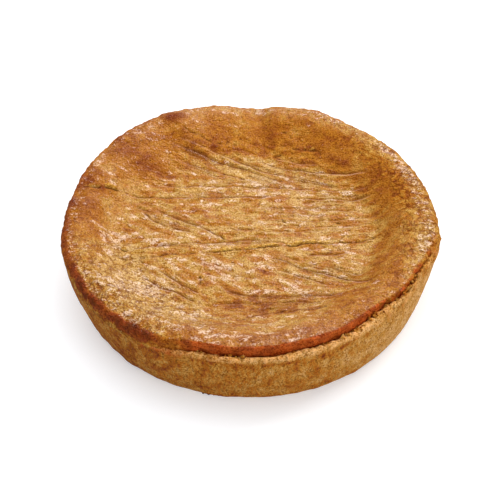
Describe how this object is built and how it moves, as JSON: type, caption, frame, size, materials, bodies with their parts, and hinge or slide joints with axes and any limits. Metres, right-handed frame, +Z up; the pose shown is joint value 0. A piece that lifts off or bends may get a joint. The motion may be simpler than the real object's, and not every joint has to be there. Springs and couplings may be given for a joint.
{
  "type": "gateau basque",
  "caption": "Whole, uncut gateau basque: a round butter-pastry cake with a flaring wall and a sunken, fork-scored, egg-washed lid.",
  "frame": {"origin": "middle of the flat bottom, at the centre of the cake's box seen from above", "axes": "+Z up through the cake's height, -Y towards the side where the lid's seam is open, +X to the right of it"},
  "size_m": [0.2194, 0.2168, 0.0454],
  "materials": {
    "crust": "baked butter pastry: golden and glossy with egg wash on the lid, beige and matte on the wall"
  },
  "bodies": {
    "root": {"cake": "crust"}
  },
  "joints": []
}
